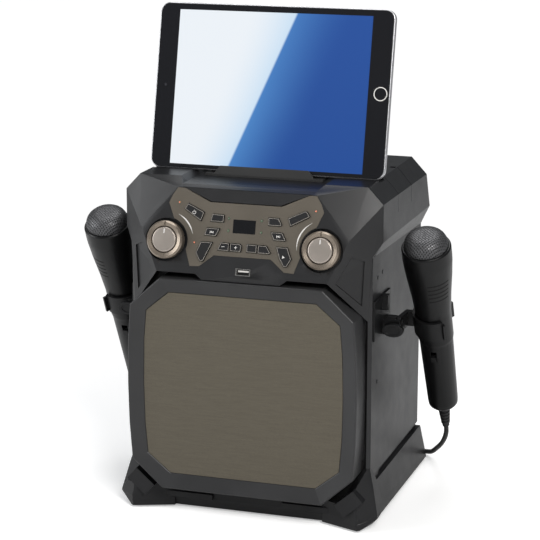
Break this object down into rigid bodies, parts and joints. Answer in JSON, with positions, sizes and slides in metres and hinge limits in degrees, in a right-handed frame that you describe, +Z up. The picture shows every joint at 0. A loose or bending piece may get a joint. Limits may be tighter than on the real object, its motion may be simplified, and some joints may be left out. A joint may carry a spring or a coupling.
{
  "type": "karaoke machine with disc tray",
  "caption": "Upright karaoke machine with a speaker front, a sloped control panel, a sliding disc tray, a tablet on top and a clipped microphone on each side.",
  "frame": {"origin": "centre of the outline at the table, under the feet", "axes": "+Z up, -Y out of the speaker's front, +X to the viewer's right"},
  "size_m": [0.376, 0.3307, 0.4928],
  "materials": {
    "case": "fine grain",
    "bezel": "satin",
    "cradle": "satin",
    "fascia": "satin",
    "plated": "bright",
    "window": "clear black",
    "board": "solder mask",
    "knob_ring": "satin",
    "knob_cap": "brushed",
    "button": "satin",
    "cloth": "fine weave",
    "basket": "satin",
    "magnet": "plain",
    "cone": "paper",
    "black_plastic": "satin",
    "gear_plastic": "plain",
    "steel": "bright",
    "mesh": "satin",
    "rubber": "matte",
    "tablet_metal": "satin",
    "screen": "polished"
  },
  "bodies": {
    "cabinet": {"cabinet_body": "case", "rear_panel": "case", "base_plinth": "case", "rubber_feet": "rubber", "front_bezel": "bezel", "head_shell": "case", "tablet_cradle": "cradle", "control_fascia": "fascia", "usb_socket": "plated", "display_window": "window", "control_board": "board", "grille_frame": "bezel", "grille_cloth": "cloth", "woofer_basket": "basket", "woofer_magnet": "magnet", "main_board": "board", "power_supply": "board", "rear_jacks": "plated", "loader_frame": "cradle", "guide_rods": "steel", "clip_brackets": "black_plastic", "mic_cord": "rubber", "cord_coil": "rubber", "mic_plug": "plated", "case_screws": "steel"},
    "knob_left_turn": {"knob_left": "knob_ring", "knob_cap_left": "knob_cap"},
    "knob_right_turn": {"knob_right": "knob_ring", "knob_cap_right": "knob_cap"},
    "tray": {"disc_tray": "black_plastic", "tray_front": "cradle"},
    "pinion": {"tray_gear": "gear_plastic"},
    "spindle": {"turntable": "black_plastic"},
    "sled": {"pickup_sled": "black_plastic"},
    "cone": {"woofer_cone": "cone"},
    "clip_left": {"mic_clip_left": "black_plastic"},
    "clip_right": {"mic_clip_right": "black_plastic"},
    "mic_left": {"mic_body_left": "black_plastic", "mic_grille_left": "mesh"},
    "mic_right": {"mic_body_right": "black_plastic", "mic_grille_right": "mesh", "mic_strain_relief": "rubber"},
    "switch_left": {"mic_switch_left": "black_plastic"},
    "switch_right": {"mic_switch_right": "black_plastic"},
    "screw_left": {"thumb_screw_left": "black_plastic"},
    "screw_right": {"thumb_screw_right": "black_plastic"},
    "tablet": {"tablet_housing": "tablet_metal", "tablet_screen": "screen"},
    "power_button": {"button_power": "button"},
    "mode_button": {"button_mode": "button"},
    "previous_button": {"button_previous": "button"},
    "echo_button": {"button_echo": "button"},
    "minus_button": {"button_minus": "button"},
    "plus_button": {"button_plus": "button"},
    "mute_button": {"button_mute": "button"},
    "repeat_button": {"button_repeat": "button"},
    "program_button": {"button_program": "button"},
    "next_button": {"button_next": "button"},
    "play_button": {"button_play": "button"},
    "tray_button": {"button_tray": "button"}
  },
  "joints": [
    {"name": "press_power", "type": "slide", "parent": "cabinet", "child": "power_button", "axis": [0, 0.9699, -0.2436], "range_m": [0, 0.0008], "stiffness_N_per_m": 300},
    {"name": "press_mode", "type": "slide", "parent": "cabinet", "child": "mode_button", "axis": [0, 0.9699, -0.2436], "range_m": [0, 0.0008], "stiffness_N_per_m": 300},
    {"name": "press_previous", "type": "slide", "parent": "cabinet", "child": "previous_button", "axis": [0, 0.9699, -0.2436], "range_m": [0, 0.0008], "stiffness_N_per_m": 300},
    {"name": "press_echo", "type": "slide", "parent": "cabinet", "child": "echo_button", "axis": [0, 0.9699, -0.2436], "range_m": [0, 0.0008], "stiffness_N_per_m": 300},
    {"name": "press_minus", "type": "slide", "parent": "cabinet", "child": "minus_button", "axis": [0, 0.9699, -0.2436], "range_m": [0, 0.0008], "stiffness_N_per_m": 300},
    {"name": "press_plus", "type": "slide", "parent": "cabinet", "child": "plus_button", "axis": [0, 0.9699, -0.2436], "range_m": [0, 0.0008], "stiffness_N_per_m": 300},
    {"name": "press_mute", "type": "slide", "parent": "cabinet", "child": "mute_button", "axis": [0, 0.9699, -0.2436], "range_m": [0, 0.0008], "stiffness_N_per_m": 300},
    {"name": "press_repeat", "type": "slide", "parent": "cabinet", "child": "repeat_button", "axis": [0, 0.9699, -0.2436], "range_m": [0, 0.0008], "stiffness_N_per_m": 300},
    {"name": "press_program", "type": "slide", "parent": "cabinet", "child": "program_button", "axis": [0, 0.9699, -0.2436], "range_m": [0, 0.0008], "stiffness_N_per_m": 300},
    {"name": "press_next", "type": "slide", "parent": "cabinet", "child": "next_button", "axis": [0, 0.9699, -0.2436], "range_m": [0, 0.0008], "stiffness_N_per_m": 300},
    {"name": "press_play", "type": "slide", "parent": "cabinet", "child": "play_button", "axis": [0, 0.9699, -0.2436], "range_m": [0, 0.0008], "stiffness_N_per_m": 300},
    {"name": "press_tray", "type": "slide", "parent": "cabinet", "child": "tray_button", "axis": [0, 0.9699, -0.2436], "range_m": [0, 0.0008], "stiffness_N_per_m": 300},
    {"name": "turn_left_knob", "type": "hinge", "parent": "cabinet", "child": "knob_left_turn", "pos_m": [-0.078, -0.11031, 0.27643], "axis": [0, -0.9699, 0.2436], "range_deg": [-150, 150]},
    {"name": "turn_right_knob", "type": "hinge", "parent": "cabinet", "child": "knob_right_turn", "pos_m": [0.078, -0.11031, 0.27643], "axis": [0, -0.9699, 0.2436], "range_deg": [-150, 150]},
    {"name": "slide_tray", "type": "slide", "parent": "cabinet", "child": "tray", "axis": [0, -1, 0], "range_m": [0, 0.122]},
    {"name": "turn_pinion", "type": "hinge", "parent": "cabinet", "child": "pinion", "pos_m": [-0.02, -0.084, 0.3186], "axis": [0, 0, 1], "range_deg": [-10, 710]},
    {"name": "spin_disc", "type": "hinge", "parent": "cabinet", "child": "spindle", "pos_m": [0, -0.028, 0.324], "axis": [0, 0, 1], "continuous": true},
    {"name": "track_pickup", "type": "slide", "parent": "cabinet", "child": "sled", "axis": [0, 1, 0], "range_m": [0, 0.034]},
    {"name": "cone_stroke", "type": "slide", "parent": "cabinet", "child": "cone", "axis": [0, -1, 0], "range_m": [-0.003, 0.003], "stiffness_N_per_m": 1500},
    {"name": "tilt_left_clip", "type": "hinge", "parent": "cabinet", "child": "clip_left", "pos_m": [-0.1365, -0.038, 0.192], "axis": [1, 0, 0], "range_deg": [-25, 20]},
    {"name": "lift_left_mic", "type": "slide", "parent": "clip_left", "child": "mic_left", "axis": [0, -0.4384, 0.8988], "range_m": [0, 0.04]},
    {"name": "move_left_switch", "type": "slide", "parent": "mic_left", "child": "switch_left", "axis": [0, -0.4384, 0.8988], "range_m": [0, 0.005]},
    {"name": "turn_left_thumb_screw", "type": "hinge", "parent": "cabinet", "child": "screw_left", "pos_m": [-0.1365, -0.06, 0.192], "axis": [0, -1, 0], "range_deg": [-180, 180]},
    {"name": "tilt_right_clip", "type": "hinge", "parent": "cabinet", "child": "clip_right", "pos_m": [0.1365, -0.038, 0.192], "axis": [1, 0, 0], "range_deg": [-25, 20], "deforming": ["mic_cord"]},
    {"name": "lift_right_mic", "type": "slide", "parent": "clip_right", "child": "mic_right", "axis": [0, -0.4384, 0.8988], "range_m": [0, 0.04], "deforming": ["mic_cord"]},
    {"name": "move_right_switch", "type": "slide", "parent": "mic_right", "child": "switch_right", "axis": [0, -0.4384, 0.8988], "range_m": [0, 0.005]},
    {"name": "turn_right_thumb_screw", "type": "hinge", "parent": "cabinet", "child": "screw_right", "pos_m": [0.1365, -0.06, 0.192], "axis": [0, -1, 0], "range_deg": [-180, 180]},
    {"name": "lift_tablet", "type": "slide", "parent": "cabinet", "child": "tablet", "axis": [0, 0.23, 0.9732], "range_m": [0, 0.04]}
  ],
  "couplings": [
    {"joint": "turn_pinion", "follows": "slide_tray", "rad_per_m": 100}
  ]
}
